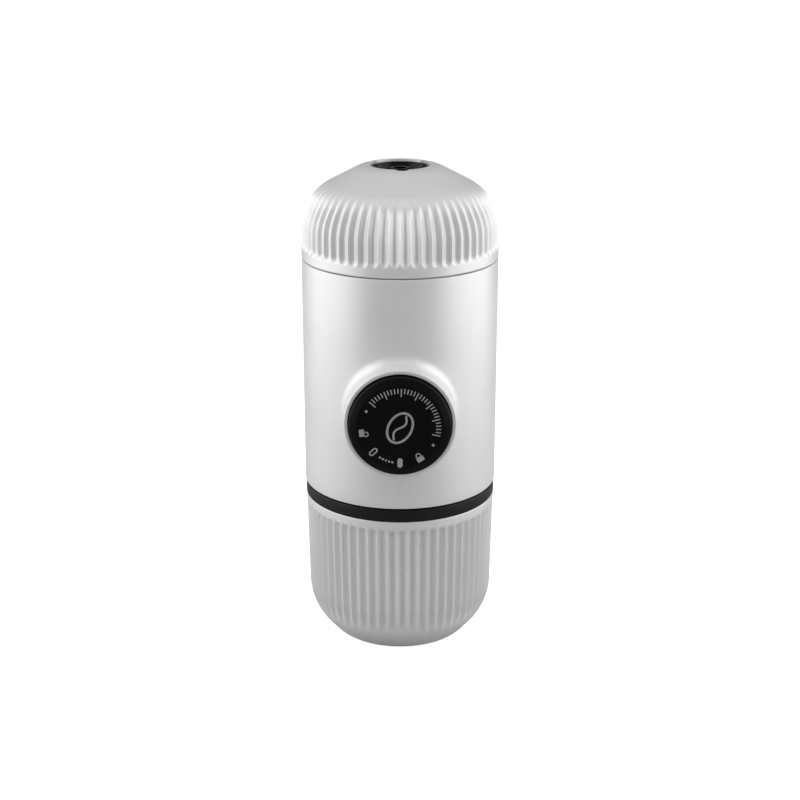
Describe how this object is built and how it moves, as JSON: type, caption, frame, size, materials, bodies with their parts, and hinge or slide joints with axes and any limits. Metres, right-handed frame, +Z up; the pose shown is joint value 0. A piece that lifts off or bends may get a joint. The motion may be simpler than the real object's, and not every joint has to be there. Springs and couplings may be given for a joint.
{
  "type": "handheld manual espresso maker",
  "caption": "Hand-pumped espresso maker standing on its ribbed cup: screw-in water tank, side piston pump with a turn-to-lock button, and a ribbed screw-on outlet head over a filter basket.",
  "frame": {"origin": "centre of the cup's flat foot, on the upright axis of the body", "axes": "+Z up along the body's axis, the pump button facing -Y, +X to the right as seen from the button's side"},
  "size_m": [0.062, 0.071, 0.156],
  "materials": {
    "white_shell": "satin",
    "black_plastic": "satin",
    "black_gloss": "glossy",
    "grey_plastic": "moulded",
    "smoke_plastic": "smooth",
    "steel": "brushed",
    "rubber": "matt"
  },
  "bodies": {
    "main": {"body_shell": "white_shell", "inner_frame": "grey_plastic", "piston_guide": "black_plastic", "pump_cylinder": "steel", "valve_block": "grey_plastic", "block_screws": "steel", "inlet_valve_cage": "grey_plastic", "outlet_valve_cage": "grey_plastic", "suction_strainer": "steel", "vent_valve": "rubber", "frame_screws": "steel", "brew_plate": "black_plastic", "diffuser_screen": "steel", "diffuser_screw": "steel", "brew_gasket": "rubber", "return_spring": "steel", "outlet_valve_spring": "steel"},
    "piston": {"piston_rod": "steel", "rod_clip": "steel", "piston_seal": "rubber"},
    "button": {"button_cap": "black_plastic", "lock_sleeve": "black_plastic"},
    "basket": {"filter_basket": "steel"},
    "head": {"head_shell": "white_shell", "basket_holder": "black_plastic", "nozzle": "black_gloss"},
    "tank_seal": {"tank_gasket": "rubber"},
    "tank": {"water_tank": "smoke_plastic", "tank_collar": "black_plastic", "cup_grip_ring": "rubber"},
    "cup": {"portable_cup": "white_shell"},
    "inlet_ball": {"inlet_ball": "steel"},
    "outlet_ball": {"outlet_ball": "steel"}
  },
  "joints": [
    {"name": "pump_stroke", "type": "slide", "parent": "main", "child": "piston", "axis": [0, -1, 0], "range_m": [0, 0.02], "deforming": ["return_spring"]},
    {"name": "lock_turn", "type": "hinge", "parent": "piston", "child": "button", "pos_m": [0, -0.036, 0.0834], "axis": [0, -1, 0], "range_deg": [0, 48]},
    {"name": "head_rise", "type": "slide", "parent": "main", "child": "basket", "axis": [0, 0, 1], "range_m": [0, 0.005]},
    {"name": "head_turn", "type": "hinge", "parent": "basket", "child": "head", "pos_m": [0, 0, 0.1355], "axis": [0, 0, 1], "range_deg": [0, 300]},
    {"name": "tank_drop", "type": "slide", "parent": "main", "child": "tank_seal", "axis": [0, 0, -1], "range_m": [0, 0.005]},
    {"name": "tank_turn", "type": "hinge", "parent": "tank_seal", "child": "tank", "pos_m": [0, 0, 0.06], "axis": [0, 0, -1], "range_deg": [0, 300]},
    {"name": "cup_pull", "type": "slide", "parent": "tank", "child": "cup", "axis": [0, 0, -1], "range_m": [0, 0.06]},
    {"name": "inlet_ball_lift", "type": "slide", "parent": "main", "child": "inlet_ball", "axis": [0, 0, 1], "range_m": [0, 0.0015]},
    {"name": "outlet_ball_lift", "type": "slide", "parent": "main", "child": "outlet_ball", "axis": [0, 0, 1], "range_m": [0, 0.0012], "stiffness_N_per_m": 5, "springref_m": -0.002, "deforming": ["outlet_valve_spring"]}
  ],
  "couplings": [
    {"joint": "head_rise", "follows": "head_turn", "m_per_rad": 0.00095493},
    {"joint": "tank_drop", "follows": "tank_turn", "m_per_rad": 0.00095493}
  ]
}
